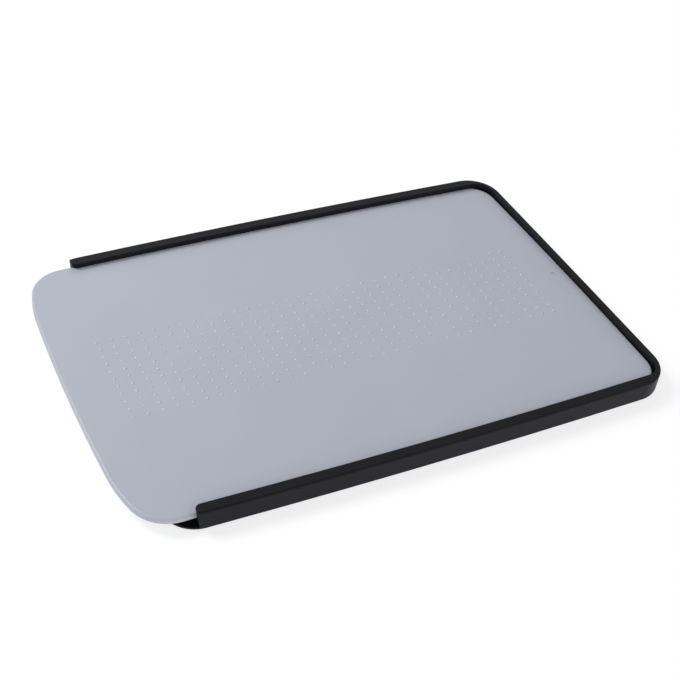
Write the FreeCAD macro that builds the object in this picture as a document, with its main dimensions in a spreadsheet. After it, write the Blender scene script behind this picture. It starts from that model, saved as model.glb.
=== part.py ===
import FreeCAD, Part
import math
import os
import Sketcher

# A cutting board that slides like a drawer in a shallow tray.
# The tray is a floor with a wall on three sides. The wall's long sides carry lips that
# reach in over the board's long edges, so the board can only leave by the open end.
# X runs along the board with the open end at -X, Y across it and Z up.
# The origin lies under the middle of the whole object, on the surface it stands on.

Vector = FreeCAD.Vector

# Driving sizes in millimetres, unless the note says otherwise.
SIZES = [
    ("tray_length", 387.65, "floor, from the closed end to the open end"),
    ("tray_width", 279.1, "across the bowed long sides, at their fullest"),
    ("side_bow", 2.45, "how far each long side curves out over the wall's length"),
    ("end_bow", 0.4, "how far the tray's ends curve out over its width"),
    ("tray_corner", 25.5, "radius of the closed end's corners seen from above"),
    ("floor_corner", 23.5, "radius of the open end's corners seen from above"),
    ("floor_reach", 17.1, "floor that stands out past the rim at the open end"),
    ("floor_thickness", 2.2, "floor plate"),
    ("crumb_depth", 4.2, "space under the board for crumbs and juice"),
    ("lip_thickness", 4.2, "lip over the board's edges, which is also the rim"),
    ("rim_width", 8.45, "top of the long walls, lip included"),
    ("end_rim", 4.4, "top of the wall at the closed end"),
    ("rim_corner", 13.0, "radius of the rim opening's corners"),
    ("side_web", 3.9, "long wall beside the groove, at the open end"),
    ("end_web", 3.37, "end wall behind the groove"),
    ("groove_corner", 18.0, "radius of the groove's corners at the closed end"),
    ("ledge_width", 7.0, "ledge under the board's edges"),
    ("rib_offset", 44.0, "from the middle line to each support rib"),
    ("rib_width", 4.0, "support rib under the board"),
    ("bay_corner", 8.0, "corner radius of the crumb bays"),
    ("wall_end_draft", 5.9, "slope of the wall's two ends, in degrees from upright"),
    ("wall_end_round", 4.3, "the lips' inner corners at the open end, seen from above"),
    ("wall_end_spare", 0.22, "least width of lip left beside that rounding"),
    ("rim_round", 1.4, "rounding of the rim's outer edge"),
    ("opening_round", 0.4, "rounding of the rim's inner edge and of the wall's two ends"),
    ("base_round", 1.4, "rounding of the tray's bottom edge"),
    ("board_thickness", 4.8, "board"),
    ("board_reach", 25.79, "board that stands out past the floor at the open end"),
    ("board_gap", 0.3, "clearance between the board and the lips over it"),
    ("side_gap", 0.6, "clearance between the board and each long wall"),
    ("end_gap", 0.3, "clearance between the board and the closed end"),
    ("corner_relief", 3.5, "how much rounder the board's inner corners are than the groove's"),
    ("board_end_bow", 1.7, "how far the board's inner end curves out"),
    ("tip_radius", 1717.0, "the board's free end, nearly straight"),
    ("shoulder_radius", 125.5, "easing arcs beside the free end"),
    ("nose_radius", 28.4, "the board's corners at the free end"),
    ("shoulder_span", 51.9, "from the easing arc's start to the board's long edge"),
    ("board_round", 1.9, "rounding of the board's edges"),
    ("dot_width", 2.2, "one raised dot"),
    ("dot_height", 0.5, "how far a dot stands out of the board"),
    ("dot_pitch_long", 10.57, "dot spacing along the board"),
    ("dot_pitch_cross", 8.0, "dot spacing across the board"),
    ("dot_columns", 33, "number of dots along the board"),
    ("dot_rows", 11, "number of dots across the board"),
    ("dot_margin", 34.7, "from the board's tip to the first dots"),
    ("mark_width", 4.0, "shallow round mark near the board's inner end"),
    ("mark_depth", 0.6, "depth of that mark"),
    ("mark_margin", 11.5, "from the board's inner end to the mark's centre"),
    ("pattern_shift", 2.0, "how far the dots and the mark stand to the rear of the middle line"),
    ("foot_width", 16.0, "anti-slip pad"),
    ("foot_thickness", 1.8, "anti-slip pad"),
    ("foot_proud", 1.0, "how far a pad stands out under the tray"),
    ("foot_gap", 0.1, "clearance around a pad in its recess"),
    ("foot_round", 0.5, "rounding of a pad's lower edge"),
    ("foot_inset_long", 34.0, "from the tray's ends to the pads' centres"),
    ("foot_inset_cross", 30.0, "from the tray's long sides to the pads' centres"),
]

# Places and fits that follow from the driving sizes.
FITS = [
    ("ground", "0"),
    ("floor_top", "Sizes.foot_proud + Sizes.floor_thickness"),
    ("ledge_top", "floor_top + Sizes.crumb_depth"),
    ("board_top", "ledge_top + Sizes.board_thickness"),
    ("lip_underside", "board_top + Sizes.board_gap"),
    ("rim_top", "lip_underside + Sizes.lip_thickness"),
    ("tray_height", "rim_top - Sizes.foot_proud"),
    ("wall_height", "rim_top - floor_top"),
    ("groove_height", "lip_underside - ledge_top"),
    ("closed_x", "(Sizes.tray_length + Sizes.board_reach) / 2"),
    ("open_x", "closed_x - Sizes.tray_length"),
    ("mouth_x", "open_x + Sizes.floor_reach"),
    ("wall_middle_x", "(closed_x + mouth_x) / 2"),
    ("tray_half", "Sizes.tray_width / 2"),
    ("side_radius", "((closed_x - mouth_x) / 2) ^ 2 / (2 * Sizes.side_bow) + Sizes.side_bow / 2"),
    ("side_centre_y", "side_radius - tray_half"),
    ("lip_radius", "side_radius - Sizes.rim_width"),
    ("lip_reach", "Sizes.rim_width - Sizes.side_web"),
    ("wall_end_radius", "min(Sizes.wall_end_round; lip_reach - Sizes.wall_end_spare)"),
    ("end_radius", "tray_half ^ 2 / (2 * Sizes.end_bow) + Sizes.end_bow / 2"),
    ("closed_centre_x", "closed_x - end_radius"),
    ("open_centre_x", "open_x + end_radius"),
    ("rim_end_radius", "end_radius - Sizes.end_rim"),
    ("groove_end_radius", "end_radius - Sizes.end_web"),
    ("groove_half", "tray_half - Sizes.side_bow - Sizes.side_web"),
    ("board_half", "groove_half - Sizes.side_gap"),
    ("board_end_x", "closed_x - Sizes.end_web - Sizes.end_gap"),
    ("board_end_radius", "board_half ^ 2 / (2 * Sizes.board_end_bow) + Sizes.board_end_bow / 2"),
    ("board_end_centre_x", "board_end_x - board_end_radius"),
    ("board_corner", "Sizes.groove_corner + Sizes.corner_relief"),
    ("tip_x", "open_x - Sizes.board_reach"),
    ("tip_centre_x", "tip_x + Sizes.tip_radius"),
    ("shoulder_y", "board_half - Sizes.shoulder_span"),
    ("bay_end_x", "board_end_x - Sizes.board_end_bow - Sizes.ledge_width"),
    ("bay_side_y", "groove_half - Sizes.ledge_width"),
    ("rib_inner_y", "Sizes.rib_offset - Sizes.rib_width / 2"),
    ("rib_outer_y", "Sizes.rib_offset + Sizes.rib_width / 2"),
    ("dot_radius", "Sizes.dot_width ^ 2 / (8 * Sizes.dot_height) + Sizes.dot_height / 2"),
    ("dot_centre_z", "board_top + Sizes.dot_height - dot_radius"),
    ("first_dot_x", "tip_x + Sizes.dot_margin"),
    ("first_dot_y", "Sizes.pattern_shift - Sizes.dot_pitch_cross * (Sizes.dot_rows - 1) / 2"),
    ("dot_field_long", "Sizes.dot_pitch_long * (Sizes.dot_columns - 1)"),
    ("dot_field_cross", "Sizes.dot_pitch_cross * (Sizes.dot_rows - 1)"),
    ("mark_x", "board_end_x - Sizes.mark_margin"),
    ("mark_y", "Sizes.pattern_shift"),
    ("mark_radius", "Sizes.mark_width / 2"),
    ("recess_depth", "Sizes.foot_thickness - Sizes.foot_proud"),
    ("recess_radius", "Sizes.foot_width / 2 + Sizes.foot_gap"),
    ("foot_radius", "Sizes.foot_width / 2"),
    ("foot_left_x", "open_x + Sizes.foot_inset_long"),
    ("foot_right_x", "closed_x - Sizes.foot_inset_long"),
    ("foot_rear_y", "tray_half - Sizes.foot_inset_cross"),
    ("foot_front_y", "-foot_rear_y"),
]

FIT_NAMES = {name for name, _ in FITS}

document = FreeCAD.newDocument("SlidingCuttingBoard")


def make_sizes_sheet():
    """Driving dimensions: name, plain number and meaning, one row each."""
    sheet = document.addObject("Spreadsheet::Sheet", "Sizes")
    for row, (name, value, meaning) in enumerate(SIZES, start=1):
        sheet.set(f"A{row}", name)
        sheet.set(f"B{row}", str(value))
        sheet.set(f"C{row}", meaning)
        sheet.setAlias(f"B{row}", name)
    return sheet


def make_fits_sheet():
    """Worked-out places, each a formula on the driving sheet and the rows above it."""
    sheet = document.addObject("Spreadsheet::Sheet", "Fits")
    for row, (name, formula) in enumerate(FITS, start=1):
        sheet.set(f"A{row}", name)
        sheet.set(f"B{row}", "=" + formula)
        sheet.setAlias(f"B{row}", name)
    return sheet


sizes = make_sizes_sheet()
fits = make_fits_sheet()
document.recompute()


def reference(name):
    """The sheet and cell that hold a name, as an expression gives them."""
    sheet = "Fits" if name in FIT_NAMES else "Sizes"
    return f"{sheet}.{name}"


def value(name):
    sheet = fits if name in FIT_NAMES else sizes
    return float(sheet.get(name))


# Bodies and sketches. Every size and place is bound to its cell by name.

ROOT_POINT = (-1, 1)
X_AXIS = -1
START, END, CENTRE = 1, 2, 3
FRONT, REAR = -1, 1


def add_body(label):
    body = document.addObject("PartDesign::Body", label)
    body.Label = label
    return body


def origin_feature(body, role):
    return next(item for item in body.Origin.OriginFeatures if item.Role == role)


def add_sketch(body, name, height):
    """A sketch parallel to the body's XY plane, at the named height."""
    sketch = body.newObject("Sketcher::SketchObject", name)
    sketch.AttachmentSupport = [(origin_feature(body, "XY_Plane"), "")]
    sketch.MapMode = "FlatFace"
    sketch.setExpression("AttachmentOffset.Base.z", reference(height))
    return sketch


def bind(sketch, constraint, expression):
    index = sketch.addConstraint(constraint)
    sketch.setExpression(f"Constraints[{index}]", expression)


def bind_radius(sketch, edge, name):
    constraint = Sketcher.Constraint("Radius", edge, value(name))
    bind(sketch, constraint, reference(name))


def bind_place(sketch, kind, edge, point, name, side=1):
    """Hold a point at side times the named place, as a positive distance from the root point."""
    ends = ROOT_POINT + (edge, point)
    if side * value(name) < 0:
        ends = (edge, point) + ROOT_POINT
    sign = "-" if value(name) < 0 else ""
    constraint = Sketcher.Constraint(kind, *ends, abs(value(name)))
    bind(sketch, constraint, sign + reference(name))


def bind_x(sketch, edge, point, name, side=1):
    bind_place(sketch, "DistanceX", edge, point, name, side)


def bind_y(sketch, edge, point, name, side=1):
    bind_place(sketch, "DistanceY", edge, point, name, side)


def put_on_x_axis(sketch, edge, point):
    sketch.addConstraint(Sketcher.Constraint("PointOnObject", edge, point, X_AXIS))


def add_line(sketch, start, end):
    return sketch.addGeometry(Part.LineSegment(Vector(*start), Vector(*end)))


def add_arc(sketch, centre, radius, start, end):
    """An arc drawn counter-clockwise about its centre, from start to end."""
    first = math.atan2(start[1] - centre[1], start[0] - centre[0])
    last = math.atan2(end[1] - centre[1], end[0] - centre[0])
    if last < first:
        last += 2 * math.pi
    circle = Part.Circle(Vector(*centre), Vector(0, 0, 1), radius)
    return sketch.addGeometry(Part.ArcOfCircle(circle, first, last))


def chain(sketch, edges, kind="Tangent"):
    """Join the end of each edge to the start of the next one."""
    for edge, next_edge in zip(edges, edges[1:]):
        sketch.addConstraint(Sketcher.Constraint(kind, edge, END, next_edge, START))


def mirror(point):
    return (point[0], -point[1])


# Features.


def add_pad(body, name, sketch, length):
    pad = body.newObject("PartDesign::Pad", name)
    pad.Profile = sketch
    pad.setExpression("Length", reference(length))
    return pad


def add_pocket(body, name, sketch, length, upward=False):
    """Cut down from the sketch, or up from it, and make sure that something was cut."""
    before = body.Tip.Shape.Volume
    pocket = body.newObject("PartDesign::Pocket", name)
    pocket.Profile = sketch
    pocket.Reversed = upward
    pocket.setExpression("Length", reference(length))
    document.recompute()
    if not pocket.Shape.Volume < before - 1:
        raise RuntimeError(f"{name} cut nothing from {body.Label}")
    return pocket


def edge_names(feature, wanted):
    document.recompute()
    edges = enumerate(feature.Shape.Edges, start=1)
    names = [f"Edge{index}" for index, edge in edges if wanted(edge)]
    if not names:
        raise RuntimeError(f"{feature.Label} has no such edge")
    return names


def add_fillet(body, name, radius, wanted):
    """Round the edges of the body so far that pass the test."""
    base = body.Tip
    names = edge_names(base, wanted)
    fillet = body.newObject("PartDesign::Fillet", name)
    fillet.Base = (base, names)
    fillet.setExpression("Radius", reference(radius))
    document.recompute()
    return fillet


def close(first, second):
    return abs(first - second) < 0.01


def spans(edge, low, high):
    """True for an edge that runs between the two named heights."""
    box = edge.BoundBox
    return close(box.ZMin, value(low)) and close(box.ZMax, value(high))


def is_level(edge, height):
    return spans(edge, height, height)


def at_closed_end(edge):
    return edge.BoundBox.XMin > value("wall_middle_x")


# Outlines.


def point_towards(centre, target, distance):
    """The point at a distance from a centre, on the ray from the centre through a target."""
    across = (target[0] - centre[0], target[1] - centre[1])
    scale = distance / math.hypot(*across)
    return (centre[0] + across[0] * scale, centre[1] + across[1] * scale)


def side_half_width(position, radius):
    """Half the width at an X position between two long arcs that share the tray's bow."""
    offset = position - value("wall_middle_x")
    return math.sqrt(radius**2 - offset**2) - value("side_centre_y")


def round_corner(side, end, corner, end_centre, direction):
    """Rear corner between a long arc and an end arc: its centre and two tangent points.

    The centre lies on both arcs moved in by the corner's radius.
    """
    across = value("tray_half") - corner
    for _ in range(10):
        along = end_centre[0] + direction * math.sqrt((end - corner) ** 2 - across**2)
        across = side_half_width(along, side - corner)
    centre = (along, across)
    side_centre = (value("wall_middle_x"), -value("side_centre_y"))
    on_side = point_towards(side_centre, centre, side)
    on_end = point_towards(end_centre, centre, end)
    return centre, on_side, on_end


def bind_long_arc(sketch, edge, radius, side):
    bind_radius(sketch, edge, radius)
    bind_x(sketch, edge, CENTRE, "wall_middle_x")
    bind_y(sketch, edge, CENTRE, "side_centre_y", -side)


def bind_end_arc(sketch, edge, radius, centre):
    bind_radius(sketch, edge, radius)
    bind_x(sketch, edge, CENTRE, centre)
    put_on_x_axis(sketch, edge, CENTRE)


def draw_long_arcs(sketch, radius_name, opened, closed):
    """Two long arcs that share the tray's bow, between rear points at its two ends."""
    radius = value(radius_name)
    centre = (value("wall_middle_x"), value("side_centre_y"))
    front = add_arc(sketch, centre, radius, mirror(opened), mirror(closed))
    rear = add_arc(sketch, mirror(centre), radius, closed, opened)
    bind_long_arc(sketch, front, radius_name, FRONT)
    bind_long_arc(sketch, rear, radius_name, REAR)
    return front, rear


def draw_closed_end(sketch, end_name, corner_name, corner):
    """The closed end's shallow arc with a round corner on each side of it."""
    centre, on_side, on_end = corner
    radius = value(corner_name)
    end_centre = (value("closed_centre_x"), 0)
    front = add_arc(sketch, mirror(centre), radius, mirror(on_side), mirror(on_end))
    bow = add_arc(sketch, end_centre, value(end_name), mirror(on_end), on_end)
    rear = add_arc(sketch, centre, radius, on_end, on_side)
    bind_end_arc(sketch, bow, end_name, "closed_centre_x")
    for edge in (front, rear):
        bind_radius(sketch, edge, corner_name)
    return [front, bow, rear]


def draw_open_end(sketch, end_name, corner_name, corner):
    centre, on_side, on_end = corner
    radius = value(corner_name)
    end_centre = (value("open_centre_x"), 0)
    rear = add_arc(sketch, centre, radius, on_side, on_end)
    bow = add_arc(sketch, end_centre, value(end_name), on_end, mirror(on_end))
    front = add_arc(sketch, mirror(centre), radius, mirror(on_end), mirror(on_side))
    bind_end_arc(sketch, bow, end_name, "open_centre_x")
    for edge in (front, rear):
        bind_radius(sketch, edge, corner_name)
    return [rear, bow, front]


def draw_tray_outline(sketch):
    """Two long arcs, two end arcs and four round corners."""
    side = value("side_radius")
    end = value("end_radius")
    closed = round_corner(side, end, value("tray_corner"), (value("closed_centre_x"), 0), 1)
    opened = round_corner(side, end, value("floor_corner"), (value("open_centre_x"), 0), -1)
    front, rear = draw_long_arcs(sketch, "side_radius", opened[1], closed[1])
    closed_end = draw_closed_end(sketch, "end_radius", "tray_corner", closed)
    open_end = draw_open_end(sketch, "end_radius", "floor_corner", opened)
    chain(sketch, [front] + closed_end + [rear] + open_end + [front])


def draw_rim_opening(sketch):
    """The opening between the lips, run out past the open end."""
    side = value("lip_radius")
    end = value("rim_end_radius")
    corner = value("rim_corner")
    closed = round_corner(side, end, corner, (value("closed_centre_x"), 0), 1)
    opened = (value("tip_x"), side_half_width(value("tip_x"), side))
    front, rear = draw_long_arcs(sketch, "lip_radius", opened, closed[1])
    closed_end = draw_closed_end(sketch, "rim_end_radius", "rim_corner", closed)
    chain(sketch, [front] + closed_end + [rear])
    close_at_tip(sketch, rear, front, opened)


def close_at_tip(sketch, rear, front, opened):
    """Close an outline with an upright line at the board's tip, past the open end."""
    left = add_line(sketch, opened, mirror(opened))
    chain(sketch, [rear, left, front], "Coincident")
    sketch.addConstraint(Sketcher.Constraint("Vertical", left))
    bind_x(sketch, left, START, "tip_x")


def inner_end(half, corner, end, middle):
    """Points of a bowed end with round corners: corner centre, its two tangent points."""
    across = half - corner
    along = math.sqrt((end - corner) ** 2 - across**2)
    centre = (middle + along, across)
    reach = end / (end - corner)
    on_end = (middle + along * reach, across * reach)
    return centre, (centre[0], half), on_end


def draw_inner_end(sketch, names, front, rear):
    """The bowed end with round corners that the board has, and the groove around it.

    The names are the end's half width, corner radius, bow radius and bow centre.
    It follows the front line and leads to the rear line, which are drawn to meet it.
    """
    half_name, corner_name, end_name, middle_name = names
    half, corner, end, middle = (value(name) for name in names)
    centre, on_side, on_end = inner_end(half, corner, end, middle)
    first = add_arc(sketch, mirror(centre), corner, mirror(on_side), mirror(on_end))
    bow = add_arc(sketch, (middle, 0), end, mirror(on_end), on_end)
    last = add_arc(sketch, centre, corner, on_end, on_side)
    chain(sketch, [front, first, bow, last, rear])
    bind_radius(sketch, first, corner_name)
    bind_radius(sketch, last, corner_name)
    bind_end_arc(sketch, bow, end_name, middle_name)
    for line, side in ((front, FRONT), (rear, REAR)):
        sketch.addConstraint(Sketcher.Constraint("Horizontal", line))
        bind_y(sketch, line, START, half_name, side)


GROOVE_END = ("groove_half", "groove_corner", "groove_end_radius", "closed_centre_x")
BOARD_END = ("board_half", "board_corner", "board_end_radius", "board_end_centre_x")


def draw_groove(sketch):
    """The board's room in the tray, run out past the open end."""
    on_side = inner_end(*[value(name) for name in GROOVE_END])[1]
    opened = (value("tip_x"), value("groove_half"))
    front = add_line(sketch, mirror(opened), mirror(on_side))
    rear = add_line(sketch, on_side, opened)
    draw_inner_end(sketch, GROOVE_END, front, rear)
    close_at_tip(sketch, rear, front, opened)


def draw_board_outline(sketch):
    """Straight long edges, a bowed inner end, and a free end of five arcs that run smoothly."""
    half = value("board_half")
    tip = value("tip_radius")
    shoulder = value("shoulder_radius")
    nose = value("nose_radius")
    turn = math.asin(value("shoulder_y") / tip)
    sine = (value("shoulder_span") - nose + shoulder * math.sin(turn)) / (shoulder - nose)
    full_turn = math.asin(sine)
    tip_centre = (value("tip_centre_x"), 0)
    on_tip = (tip_centre[0] - tip * math.cos(turn), value("shoulder_y"))
    shoulder_centre = (
        on_tip[0] + shoulder * math.cos(turn),
        on_tip[1] - shoulder * math.sin(turn),
    )
    on_nose = (
        shoulder_centre[0] - shoulder * math.cos(full_turn),
        shoulder_centre[1] + shoulder * math.sin(full_turn),
    )
    nose_centre = (on_nose[0] + nose * math.cos(full_turn), half - nose)
    nose_end = (nose_centre[0], half)
    on_side = inner_end(*[value(name) for name in BOARD_END])[1]

    front = add_line(sketch, mirror(nose_end), mirror(on_side))
    rear = add_line(sketch, on_side, nose_end)
    draw_inner_end(sketch, BOARD_END, front, rear)
    rear_nose = add_arc(sketch, nose_centre, nose, nose_end, on_nose)
    rear_shoulder = add_arc(sketch, shoulder_centre, shoulder, on_nose, on_tip)
    free_end = add_arc(sketch, tip_centre, tip, on_tip, mirror(on_tip))
    front_shoulder = add_arc(
        sketch, mirror(shoulder_centre), shoulder, mirror(on_tip), mirror(on_nose)
    )
    front_nose = add_arc(sketch, mirror(nose_centre), nose, mirror(on_nose), mirror(nose_end))
    chain(sketch, [rear, rear_nose, rear_shoulder, free_end])
    chain(sketch, [free_end, front_shoulder, front_nose, front])
    for edge in (rear_nose, front_nose):
        bind_radius(sketch, edge, "nose_radius")
    for edge in (rear_shoulder, front_shoulder):
        bind_radius(sketch, edge, "shoulder_radius")
    bind_end_arc(sketch, free_end, "tip_radius", "tip_centre_x")
    bind_y(sketch, free_end, START, "shoulder_y", REAR)
    bind_y(sketch, free_end, END, "shoulder_y", FRONT)


def draw_rectangle(sketch, x_names, y_places):
    """A rectangle between two named X places and two Y places given as (name, side)."""
    left, right = (value(name) for name in x_names)
    low, high = (value(name) * side for name, side in y_places)
    front = add_line(sketch, (left, low), (right, low))
    closed = add_line(sketch, (right, low), (right, high))
    rear = add_line(sketch, (right, high), (left, high))
    opened = add_line(sketch, (left, high), (left, low))
    chain(sketch, [front, closed, rear, opened, front], "Coincident")
    for edge in (front, rear):
        sketch.addConstraint(Sketcher.Constraint("Horizontal", edge))
    for edge in (closed, opened):
        sketch.addConstraint(Sketcher.Constraint("Vertical", edge))
    bind_x(sketch, opened, START, x_names[0])
    bind_x(sketch, closed, START, x_names[1])
    bind_y(sketch, front, START, *y_places[0])
    bind_y(sketch, rear, START, *y_places[1])


def draw_circle(sketch, radius, x_name, y_name):
    """A circle at two named places."""
    centre = Vector(value(x_name), value(y_name))
    circle = sketch.addGeometry(Part.Circle(centre, Vector(0, 0, 1), value(radius)))
    bind_radius(sketch, circle, radius)
    bind_x(sketch, circle, CENTRE, x_name)
    bind_y(sketch, circle, CENTRE, y_name)


FOOT_PLACES = [
    ("foot_front_left", "foot_left_x", "foot_front_y"),
    ("foot_front_right", "foot_right_x", "foot_front_y"),
    ("foot_rear_left", "foot_left_x", "foot_rear_y"),
    ("foot_rear_right", "foot_right_x", "foot_rear_y"),
]


# The pieces.

OUTLINE_ARCS = ("side_radius", "end_radius", "tray_corner", "floor_corner")
OPENING_ARCS = ("lip_radius", "rim_end_radius", "rim_corner")


def is_rim_arc(edge, radii):
    """True for a round edge at the top of the rim with one of the named radii."""
    if not is_level(edge, "rim_top") or edge.Curve.TypeId != "Part::GeomCircle":
        return False
    return any(close(edge.Curve.Radius, value(name)) for name in radii)


def make_tray():
    """One moulding: floor, three-sided wall with lips, ledges, ribs and pad recesses."""
    body = add_body("tray")
    outline = add_sketch(body, "TrayOutline", "foot_proud")
    draw_tray_outline(outline)
    add_pad(body, "TrayBlock", outline, "tray_height")
    document.recompute()

    open_end = add_sketch(body, "OpenEndOutline", "rim_top")
    sides = [("tray_width", FRONT), ("tray_width", REAR)]
    draw_rectangle(open_end, ["tip_x", "mouth_x"], sides)
    opened = add_pocket(body, "OpenEnd", open_end, "wall_height")
    opened.setExpression("TaperAngle", reference("wall_end_draft"))

    rim_opening = add_sketch(body, "RimOpeningOutline", "rim_top")
    draw_rim_opening(rim_opening)
    add_pocket(body, "RimOpening", rim_opening, "lip_thickness")

    groove = add_sketch(body, "GrooveOutline", "lip_underside")
    draw_groove(groove)
    add_pocket(body, "BoardGroove", groove, "groove_height")

    bays = add_sketch(body, "CrumbBayOutlines", "ledge_top")
    lengthwise = ["tip_x", "bay_end_x"]
    draw_rectangle(bays, lengthwise, [("rib_inner_y", FRONT), ("rib_inner_y", REAR)])
    draw_rectangle(bays, lengthwise, [("rib_outer_y", REAR), ("bay_side_y", REAR)])
    draw_rectangle(bays, lengthwise, [("bay_side_y", FRONT), ("rib_outer_y", FRONT)])
    add_pocket(body, "CrumbBays", bays, "crumb_depth")
    add_fillet(
        body,
        "BayCorners",
        "bay_corner",
        lambda edge: spans(edge, "floor_top", "ledge_top") and at_closed_end(edge),
    )

    add_fillet(
        body,
        "WallEnds",
        "wall_end_radius",
        lambda edge: spans(edge, "lip_underside", "rim_top") and not at_closed_end(edge),
    )
    add_fillet(body, "RimOutside", "rim_round", lambda edge: is_rim_arc(edge, OUTLINE_ARCS))
    add_fillet(body, "RimInside", "opening_round", lambda edge: is_rim_arc(edge, OPENING_ARCS))
    add_fillet(body, "Base", "base_round", lambda edge: is_level(edge, "foot_proud"))

    recesses = add_sketch(body, "PadRecessOutlines", "foot_proud")
    for _, along, across in FOOT_PLACES:
        draw_circle(recesses, "recess_radius", along, across)
    add_pocket(body, "PadRecesses", recesses, "recess_depth", upward=True)
    return body


def add_dot_pattern(body, name, axis, length, count):
    pattern = body.newObject("PartDesign::LinearPattern", name)
    pattern.Direction = (origin_feature(body, axis), [""])
    pattern.setExpression("Length", reference(length))
    pattern.setExpression("Occurrences", reference(count))
    return pattern


def add_dots(body):
    """A field of raised dots: one small sphere that stands out of the top, repeated."""
    dot = body.newObject("PartDesign::AdditiveSphere", "Dot")
    dot.AttachmentSupport = [(origin_feature(body, "XY_Plane"), "")]
    dot.MapMode = "FlatFace"
    dot.setExpression("Radius", reference("dot_radius"))
    dot.setExpression("AttachmentOffset.Base.x", reference("first_dot_x"))
    dot.setExpression("AttachmentOffset.Base.y", reference("first_dot_y"))
    dot.setExpression("AttachmentOffset.Base.z", reference("dot_centre_z"))
    document.recompute()
    field = body.newObject("PartDesign::MultiTransform", "DotField")
    field.Originals = [dot]
    field.Transformations = [
        add_dot_pattern(body, "DotColumns", "X_Axis", "dot_field_long", "dot_columns"),
        add_dot_pattern(body, "DotRows", "Y_Axis", "dot_field_cross", "dot_rows"),
    ]
    body.Tip = field


def make_board():
    """The sliding board, with rounded edges, a shallow mark and the field of dots."""
    body = add_body("board")
    outline = add_sketch(body, "BoardOutline", "ledge_top")
    draw_board_outline(outline)
    add_pad(body, "BoardBlank", outline, "board_thickness")
    add_fillet(
        body,
        "BoardEdges",
        "board_round",
        lambda edge: is_level(edge, "ledge_top") or is_level(edge, "board_top"),
    )
    mark = add_sketch(body, "MarkOutline", "board_top")
    draw_circle(mark, "mark_radius", "mark_x", "mark_y")
    add_pocket(body, "Mark", mark, "mark_depth")
    add_dots(body)
    return body


def make_foot(label, along, across):
    """An anti-slip pad that lies in its recess and stands out under the tray."""
    body = add_body(label)
    outline = add_sketch(body, label + "_outline", "ground")
    draw_circle(outline, "foot_radius", along, across)
    add_pad(body, label + "_disc", outline, "foot_thickness")
    add_fillet(body, label + "_edge", "foot_round", lambda edge: is_level(edge, "ground"))
    return body


def check_document():
    for item in document.Objects:
        if "Invalid" in item.State or "Error" in item.State:
            raise RuntimeError(f"{item.Label} did not build: {item.State}")


def write_part(body):
    shape = body.Shape
    if shape.isNull() or not shape.isValid() or len(shape.Solids) != 1:
        raise RuntimeError(f"{body.Label} is not one valid solid")
    shape.exportStep(f"parts/{body.Label}.step")


pieces = [make_tray(), make_board()]
pieces += [make_foot(*place) for place in FOOT_PLACES]
document.recompute()
check_document()
os.makedirs("parts", exist_ok=True)
for piece in pieces:
    write_part(piece)
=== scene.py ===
"""Finishes, stage, light and camera for a cutting board that slides in a shallow tray."""

import math

import bmesh
import bpy
from bpy.props import FloatProperty, FloatVectorProperty, PointerProperty
from bpy.types import Operator, Panel, PropertyGroup
from mathutils import Matrix, Vector

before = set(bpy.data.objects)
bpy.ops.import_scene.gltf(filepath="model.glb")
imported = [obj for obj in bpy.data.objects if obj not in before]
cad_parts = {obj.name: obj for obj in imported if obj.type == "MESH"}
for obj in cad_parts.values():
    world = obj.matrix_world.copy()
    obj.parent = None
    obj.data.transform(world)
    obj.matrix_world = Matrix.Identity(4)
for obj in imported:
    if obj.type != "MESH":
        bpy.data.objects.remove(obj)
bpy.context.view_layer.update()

bl_info = {
    "name": "Sliding Cutting Board",
    "version": (1, 0, 0),
    "blender": (4, 5, 0),
    "location": "View3D > Sidebar > Cutting Board",
    "description": "Gives the board, its tray and its feet their finishes, and sets the stage",
    "category": "Object",
}

MM = 0.001
WHITE = (1.0, 1.0, 1.0, 1.0)

# Nearly all of a noise lies between these two values, so its full swing is taken from one to the other.
NOISE_LOW = 0.3
NOISE_HIGH = 0.7

# The board's dots are smoother than the ground, and their tops are painted lighter as a painted
# highlight that stands in for the light they catch. Above the board's face, the dots' tops start at the
# first height and are full at the second.
DOT_TOP_START = 0.04 * MM
DOT_TOP_END = 0.2 * MM
# Painted highlight: how much lighter the dots' tops are painted, and how smooth they are.
DOT_HIGHLIGHT_SHADE = 1.2
DOT_ROUGHNESS = 0.28

# Dust starts to grey the rubber where its noise reaches the first value, and is thickest at the second.
DUST_START = 0.45
DUST_END = 0.75

# How bright the studio's white walls are, low and high, at every eighth of a turn from the front
# towards the right.
WALLS = (
    (1.00, 1.10),
    (1.85, 1.85),
    (0.60, 0.30),
    (0.35, 0.80),
    (0.85, 1.60),
    (0.35, 0.30),
    (0.55, 0.70),
    (1.20, 1.25),
)
BRIGHTEST = 2.0

# Angles above the horizon of the walls' middle, where low gives way to high, and of their top, where
# the dark ceiling starts, each with half the width of its soft change.
WALL_MIDDLE = math.radians(25)
MIDDLE_BLEND = math.radians(5)
WALL_TOP = math.radians(55)
TOP_BLEND = math.radians(2.75)

# The key light's place and width in metres, and its power in watts.
KEY_PLACE = (-1.05, 0.9, 1.45)
KEY_WIDTH = 0.9
KEY_POWER = 25.0

CAMERA_TARGET = (-8.717 * MM, -18.062 * MM, 16.7 * MM)
SENSOR_WIDTH = 36.0
FARTHEST_SEEN = 50.0


def linear(hex_colour):
    """An sRGB colour such as B0B4BF as the linear red, green and blue that a shader takes."""
    channels = [int(hex_colour[i:i + 2], 16) / 255 for i in (0, 2, 4)]
    return [c / 12.92 if c <= 0.04045 else ((c + 0.055) / 1.055) ** 2.4 for c in channels]


# ---------------------------------------------------------------- settings


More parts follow.
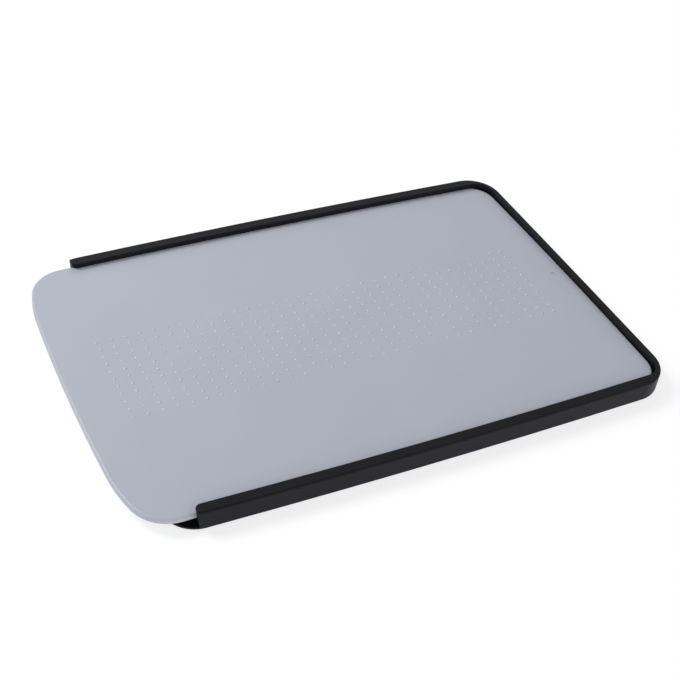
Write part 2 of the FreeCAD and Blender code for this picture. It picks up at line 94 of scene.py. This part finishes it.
class BoardSettings(PropertyGroup):
    colour: FloatVectorProperty(
        name="Colour",
        description="Grey of the board's polypropylene",
        default=linear("A5A9B4"),
        size=3,
        min=0.0,
        max=1.0,
        subtype="COLOR",
    )
    grain: FloatProperty(
        name="Grain",
        description="Width of one grain of the matt moulded skin, coarser than real so that it shows",
        default=0.7 * MM,
        min=0.1 * MM,
        unit="LENGTH",
    )
    relief: FloatProperty(
        name="Relief",
        description="Height of the grain",
        default=0.02 * MM,
        min=0.0,
        precision=5,
        unit="LENGTH",
    )
    top: FloatProperty(
        name="Top",
        description="Height of the board's upper face, above which its dots stand",
        default=12.2 * MM,
        precision=5,
        unit="LENGTH",
    )


class TraySettings(PropertyGroup):
    colour: FloatVectorProperty(
        name="Colour",
        description="Black of the tray's ABS",
        default=linear("131319"),
        size=3,
        min=0.0,
        max=1.0,
        subtype="COLOR",
    )
    grain: FloatProperty(
        name="Grain",
        description="Width of one pit of the spark-eroded skin, coarser than real so that it shows",
        default=0.6 * MM,
        min=0.1 * MM,
        unit="LENGTH",
    )
    relief: FloatProperty(
        name="Relief",
        description="Depth of the pits",
        default=0.02 * MM,
        min=0.0,
        precision=5,
        unit="LENGTH",
    )


class FootSettings(PropertyGroup):
    colour: FloatVectorProperty(
        name="Colour",
        description="Black of the feet's rubber",
        default=linear("222224"),
        size=3,
        min=0.0,
        max=1.0,
        subtype="COLOR",
    )
    grain: FloatProperty(
        name="Grain",
        description="Width of one speck of the dusty skin, coarser than real so that it shows",
        default=0.8 * MM,
        min=0.1 * MM,
        unit="LENGTH",
    )
    relief: FloatProperty(
        name="Relief",
        description="Height of the specks",
        default=0.03 * MM,
        min=0.0,
        precision=5,
        unit="LENGTH",
    )


class StageSettings(PropertyGroup):
    floor_colour: FloatVectorProperty(
        name="Floor",
        description="Colour of the floor that the tray stands on",
        default=linear("969696"),
        size=3,
        min=0.0,
        max=1.0,
        subtype="COLOR",
    )
    floor_glow: FloatProperty(
        name="Floor Glow",
        description="Light that the floor gives off itself",
        default=0.715,
        min=0.0,
    )
    floor_width: FloatProperty(
        name="Floor Width",
        description="Width of the square floor",
        default=12.0,
        min=1.0,
        unit="LENGTH",
    )
    azimuth: FloatProperty(
        name="Azimuth",
        description="Side that the camera stands on, from 0 in front towards the right",
        default=math.radians(-30.394),
        subtype="ANGLE",
    )
    elevation: FloatProperty(
        name="Elevation",
        description="Angle of the camera above the floor",
        default=math.radians(40.510),
        subtype="ANGLE",
    )
    roll: FloatProperty(
        name="Roll",
        description="Turn of the camera about its own line of sight",
        default=math.radians(7.069),
        subtype="ANGLE",
    )
    distance: FloatProperty(
        name="Distance",
        description="From the camera to the point that it looks at",
        default=912.95 * MM,
        min=0.1,
        unit="LENGTH",
    )
    focal_length: FloatProperty(
        name="Focal Length",
        description="Focal length of the camera, in millimetres, on a sensor 36 mm wide",
        default=66.526,
        min=10.0,
        subtype="DISTANCE_CAMERA",
    )


# ---------------------------------------------------------------- shader nodes


def add_node(tree, kind, values=None, links=None, **settings):
    """Adds a node of a kind, sets its attributes and socket values, and links its inputs."""
    node = tree.nodes.new(kind)
    for name, setting in settings.items():
        setattr(node, name, setting)
    for socket, value in (values or {}).items():
        node.inputs[socket].default_value = value
    for socket, source in (links or {}).items():
        tree.links.new(source, node.inputs[socket])
    return node


def new_material(name):
    """An empty material, its node tree and its Principled shader."""
    material = bpy.data.materials.new(name)
    material.use_nodes = True
    tree = material.node_tree
    tree.nodes.clear()
    shader = add_node(tree, "ShaderNodeBsdfPrincipled")
    output = add_node(tree, "ShaderNodeOutputMaterial")
    tree.links.new(shader.outputs["BSDF"], output.inputs["Surface"])
    return material, tree, shader


def grain_noise(tree, width, detail=2.0):
    """Noise in object space whose lumps are as wide as the given length."""
    place = add_node(tree, "ShaderNodeTexCoord")
    return add_node(
        tree,
        "ShaderNodeTexNoise",
        {"Scale": 1 / width, "Detail": detail, "Roughness": 0.5},
        {"Vector": place.outputs["Object"]},
    )


def shade(colour, factor):
    """A colour made darker or lighter by a factor, with its alpha."""
    return (*[min(c * factor, 1.0) for c in colour], 1.0)


def add_blotches(tree, colour, width, darker, lighter):
    """A colour that wanders between a darker and a lighter tone of itself, in clouds of a width."""
    cloud = grain_noise(tree, width, detail=3.0)
    blend = add_node(
        tree,
        "ShaderNodeMapRange",
        {"From Min": NOISE_LOW, "From Max": NOISE_HIGH},
        {"Value": cloud.outputs["Fac"]},
    )
    return add_node(
        tree,
        "ShaderNodeMix",
        {"A": shade(colour, darker), "B": shade(colour, lighter)},
        {"Factor": blend.outputs["Result"]},
        data_type="RGBA",
    ).outputs["Result"]


def add_skin(tree, shader, grain, relief, smoothest, roughest):
    """Roughness and relief that follow one grain, so that each pit is duller than its rim."""
    roughness = add_node(
        tree,
        "ShaderNodeMapRange",
        {"From Min": NOISE_LOW, "From Max": NOISE_HIGH, "To Min": smoothest, "To Max": roughest},
        {"Value": grain.outputs["Fac"]},
    ).outputs["Result"]
    bump = add_node(
        tree,
        "ShaderNodeBump",
        {"Strength": 1.0, "Distance": relief},
        {"Height": grain.outputs["Fac"]},
    )
    tree.links.new(roughness, shader.inputs["Roughness"])
    tree.links.new(bump.outputs["Normal"], shader.inputs["Normal"])
    return roughness


def make_moulded_polypropylene(settings):
    """Grey polypropylene, injection moulded with a matt skin: soft, dry sheen, a fine, even grain and
    raised dots that are smoother than the ground, their tops painted a little lighter as a painted
    highlight."""
    material, tree, shader = new_material("moulded_polypropylene_grey")
    shader.inputs["IOR"].default_value = 1.49
    grain = grain_noise(tree, settings.grain)
    ground_roughness = add_skin(tree, shader, grain, settings.relief, smoothest=0.36, roughest=0.46)
    ground_colour = add_blotches(tree, settings.colour, 60 * MM, darker=0.985, lighter=1.015)
    place = add_node(tree, "ShaderNodeTexCoord")
    height = add_node(tree, "ShaderNodeSeparateXYZ", links={"Vector": place.outputs["Object"]})
    dot_tops = add_node(
        tree,
        "ShaderNodeMapRange",
        {"From Min": settings.top + DOT_TOP_START, "From Max": settings.top + DOT_TOP_END},
        {"Value": height.outputs["Z"]},
    ).outputs["Result"]
    # Painted highlight: the dots' tops are painted lighter than the ground, standing in for the light
    # they catch.
    colour = add_node(
        tree,
        "ShaderNodeMix",
        {"B": shade(settings.colour, DOT_HIGHLIGHT_SHADE)},
        {"Factor": dot_tops, "A": ground_colour},
        data_type="RGBA",
    )
    roughness = add_node(
        tree,
        "ShaderNodeMix",
        {"B": DOT_ROUGHNESS},
        {"Factor": dot_tops, "A": ground_roughness},
    )
    tree.links.new(colour.outputs["Result"], shader.inputs["Base Color"])
    tree.links.new(roughness.outputs["Result"], shader.inputs["Roughness"])
    return material


def make_moulded_abs(settings):
    """Black ABS, injection moulded in a spark-eroded tool: a satin skin of shallow pits that softens
    the light."""
    material, tree, shader = new_material("moulded_abs_black")
    shader.inputs["IOR"].default_value = 1.45
    shader.inputs["Specular IOR Level"].default_value = 0.155
    pits = grain_noise(tree, settings.grain)
    add_skin(tree, shader, pits, settings.relief, smoothest=0.38, roughest=0.48)
    colour = add_blotches(tree, settings.colour, 40 * MM, darker=0.9, lighter=1.1)
    tree.links.new(colour, shader.inputs["Base Color"])
    return material


def make_moulded_rubber(settings):
    """Black rubber, compression moulded: dull, with a faint dust that greys its specks."""
    material, tree, shader = new_material("moulded_rubber_black")
    shader.inputs["IOR"].default_value = 1.52
    specks = grain_noise(tree, settings.grain)
    add_skin(tree, shader, specks, settings.relief, smoothest=0.75, roughest=0.9)
    dust = add_node(
        tree,
        "ShaderNodeMapRange",
        {"From Min": DUST_START, "From Max": DUST_END},
        {"Value": specks.outputs["Fac"]},
    )
    colour = add_node(
        tree,
        "ShaderNodeMix",
        {"A": shade(settings.colour, 0.9), "B": shade(settings.colour, 1.4)},
        {"Factor": dust.outputs["Result"]},
        data_type="RGBA",
    )
    tree.links.new(colour.outputs["Result"], shader.inputs["Base Color"])
    return material


def put_material(node_name, material):
    """Gives the object of a CAD node one material."""
    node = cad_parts[node_name]
    for slot in node.material_slots:
        slot.material = material


# ---------------------------------------------------------------- operators


class CUTTING_BOARD_OT_finish_board(Operator):
    """Gives the board its moulded polypropylene"""

    bl_idname = "cutting_board.finish_board"
    bl_label = "Finish Board"

    def execute(self, context):
        put_material("board", make_moulded_polypropylene(context.scene.board_settings))
        return {"FINISHED"}


class CUTTING_BOARD_OT_finish_tray(Operator):
    """Gives the tray its moulded ABS"""

    bl_idname = "cutting_board.finish_tray"
    bl_label = "Finish Tray"

    def execute(self, context):
        put_material("tray", make_moulded_abs(context.scene.tray_settings))
        return {"FINISHED"}


class CUTTING_BOARD_OT_finish_feet(Operator):
    """Gives the four feet their rubber"""

    bl_idname = "cutting_board.finish_feet"
    bl_label = "Finish Feet"

    def execute(self, context):
        rubber = make_moulded_rubber(context.scene.foot_settings)
        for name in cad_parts:
            if name.startswith("foot_"):
                put_material(name, rubber)
        return {"FINISHED"}


def make_floor(settings):
    """A square floor under the tray's feet: opal acrylic lit from below, so that it stays almost
    white in shadow."""
    mesh = bpy.data.meshes.new("floor")
    shape = bmesh.new()
    bmesh.ops.create_grid(shape, x_segments=8, y_segments=8, size=settings.floor_width / 2)
    shape.to_mesh(mesh)
    shape.free()
    floor = bpy.data.objects.new("floor", mesh)
    bpy.context.scene.collection.objects.link(floor)
    material, tree, shader = new_material("opal_acrylic_lit")
    shader.inputs["Base Color"].default_value = (*settings.floor_colour, 1.0)
    shader.inputs["Roughness"].default_value = 0.9
    shader.inputs["Specular IOR Level"].default_value = 0.1
    shader.inputs["Emission Color"].default_value = WHITE
    shader.inputs["Emission Strength"].default_value = settings.floor_glow
    mesh.materials.append(material)


def make_key_light():
    """A square soft light at the rear left that points at the tray's middle."""
    data = bpy.data.lights.new("key_light", "AREA")
    data.shape = "SQUARE"
    data.size = KEY_WIDTH
    data.energy = KEY_POWER
    lamp = bpy.data.objects.new("key_light", data)
    bpy.context.scene.collection.objects.link(lamp)
    lamp.location = KEY_PLACE
    lamp.rotation_euler = (-Vector(KEY_PLACE)).to_track_quat("-Z", "Y").to_euler()


def add_wall_ring(tree, turn, row):
    """The brightness of one row of the walls, blended from one eighth of a turn to the next."""
    ring = add_node(tree, "ShaderNodeValToRGB", links={"Fac": turn})
    stops = ring.color_ramp.elements
    for index, wall in enumerate(WALLS):
        grey = wall[row] / BRIGHTEST
        stop = stops.new(index / len(WALLS)) if index else stops[0]
        stop.color = (grey, grey, grey, 1.0)
    stops[-1].color = stops[0].color
    return ring.outputs["Color"]


def make_walls():
    """White studio walls all round, lit in patches, under a dark ceiling."""
    world = bpy.data.worlds.new("studio")
    world.use_nodes = True
    tree = world.node_tree
    tree.nodes.clear()
    place = add_node(tree, "ShaderNodeTexCoord")
    parts = add_node(tree, "ShaderNodeSeparateXYZ", links={"Vector": place.outputs["Generated"]})
    front = add_node(tree, "ShaderNodeMath", {1: -1.0}, {0: parts.outputs["Y"]}, operation="MULTIPLY")
    angle = add_node(
        tree,
        "ShaderNodeMath",
        links={0: parts.outputs["X"], 1: front.outputs["Value"]},
        operation="ARCTAN2",
    )
    turns = add_node(
        tree,
        "ShaderNodeMath",
        {1: math.tau},
        {0: angle.outputs["Value"]},
        operation="DIVIDE",
    )
    turn = add_node(
        tree,
        "ShaderNodeMath",
        links={0: turns.outputs["Value"]},
        operation="FRACT",
    ).outputs["Value"]
    height = add_node(tree, "ShaderNodeMath", links={0: parts.outputs["Z"]}, operation="ARCSINE")
    rise = add_node(
        tree,
        "ShaderNodeMapRange",
        {"From Min": WALL_MIDDLE - MIDDLE_BLEND, "From Max": WALL_MIDDLE + MIDDLE_BLEND},
        {"Value": height.outputs["Value"]},
        interpolation_type="SMOOTHSTEP",
    )
    ceiling = add_node(
        tree,
        "ShaderNodeMapRange",
        {
            "From Min": WALL_TOP - TOP_BLEND,
            "From Max": WALL_TOP + TOP_BLEND,
            "To Min": BRIGHTEST,
            "To Max": 0.0,
        },
        {"Value": height.outputs["Value"]},
        interpolation_type="SMOOTHSTEP",
    )
    wall = add_node(
        tree,
        "ShaderNodeMix",
        links={
            "Factor": rise.outputs["Result"],
            "A": add_wall_ring(tree, turn, row=0),
            "B": add_wall_ring(tree, turn, row=1),
        },
        data_type="RGBA",
    )
    light = add_node(
        tree,
        "ShaderNodeBackground",
        links={"Color": wall.outputs["Result"], "Strength": ceiling.outputs["Result"]},
    )
    output = add_node(tree, "ShaderNodeOutputWorld")
    tree.links.new(light.outputs["Background"], output.inputs["Surface"])
    bpy.context.scene.world = world


def make_camera(settings):
    """The camera, which looks at a point of the tray's rim from the front left."""
    data = bpy.data.cameras.new("camera")
    data.lens = settings.focal_length
    data.sensor_width = SENSOR_WIDTH
    data.clip_end = FARTHEST_SEEN
    camera = bpy.data.objects.new("camera", data)
    bpy.context.scene.collection.objects.link(camera)
    level = math.cos(settings.elevation)
    back = Vector((
        math.sin(settings.azimuth) * level,
        -math.cos(settings.azimuth) * level,
        math.sin(settings.elevation),
    ))
    turn = back.to_track_quat("Z", "Y").to_matrix().to_4x4()
    camera.matrix_world = (
        Matrix.Translation(Vector(CAMERA_TARGET) + back * settings.distance)
        @ turn
        @ Matrix.Rotation(settings.roll, 4, "Z")
    )
    bpy.context.scene.camera = camera


class CUTTING_BOARD_OT_set_stage(Operator):
    """Makes the floor, the studio light and the camera"""

    bl_idname = "cutting_board.set_stage"
    bl_label = "Set Stage"

    def execute(self, context):
        settings = context.scene.stage_settings
        make_floor(settings)
        make_walls()
        make_key_light()
        make_camera(settings)
        context.scene.view_settings.view_transform = "Standard"
        return {"FINISHED"}


class VIEW3D_PT_cutting_board(Panel):
    """Lists the settings and the operators"""

    bl_label = "Cutting Board"
    bl_idname = "VIEW3D_PT_cutting_board"
    bl_space_type = "VIEW_3D"
    bl_region_type = "UI"
    bl_category = "Cutting Board"

    def draw(self, context):
        layout = self.layout
        for operator, group in STEPS:
            box = layout.box()
            settings = getattr(context.scene, group)
            for name in settings.bl_rna.properties.keys():
                if name not in ("rna_type", "name"):
                    box.prop(settings, name)
            box.operator(operator.bl_idname)


STEPS = (
    (CUTTING_BOARD_OT_finish_board, "board_settings"),
    (CUTTING_BOARD_OT_finish_tray, "tray_settings"),
    (CUTTING_BOARD_OT_finish_feet, "foot_settings"),
    (CUTTING_BOARD_OT_set_stage, "stage_settings"),
)

GROUPS = {
    "board_settings": BoardSettings,
    "tray_settings": TraySettings,
    "foot_settings": FootSettings,
    "stage_settings": StageSettings,
}


def register():
    for name, group in GROUPS.items():
        bpy.utils.register_class(group)
        setattr(bpy.types.Scene, name, PointerProperty(type=group))
    for operator, _ in STEPS:
        bpy.utils.register_class(operator)
    bpy.utils.register_class(VIEW3D_PT_cutting_board)


def unregister():
    bpy.utils.unregister_class(VIEW3D_PT_cutting_board)
    for operator, _ in reversed(STEPS):
        bpy.utils.unregister_class(operator)
    for name, group in reversed(GROUPS.items()):
        delattr(bpy.types.Scene, name)
        bpy.utils.unregister_class(group)


def main():
    register()
    bpy.ops.cutting_board.finish_board()
    bpy.ops.cutting_board.finish_tray()
    bpy.ops.cutting_board.finish_feet()
    bpy.ops.cutting_board.set_stage()


if __name__ == "__main__":
    main()
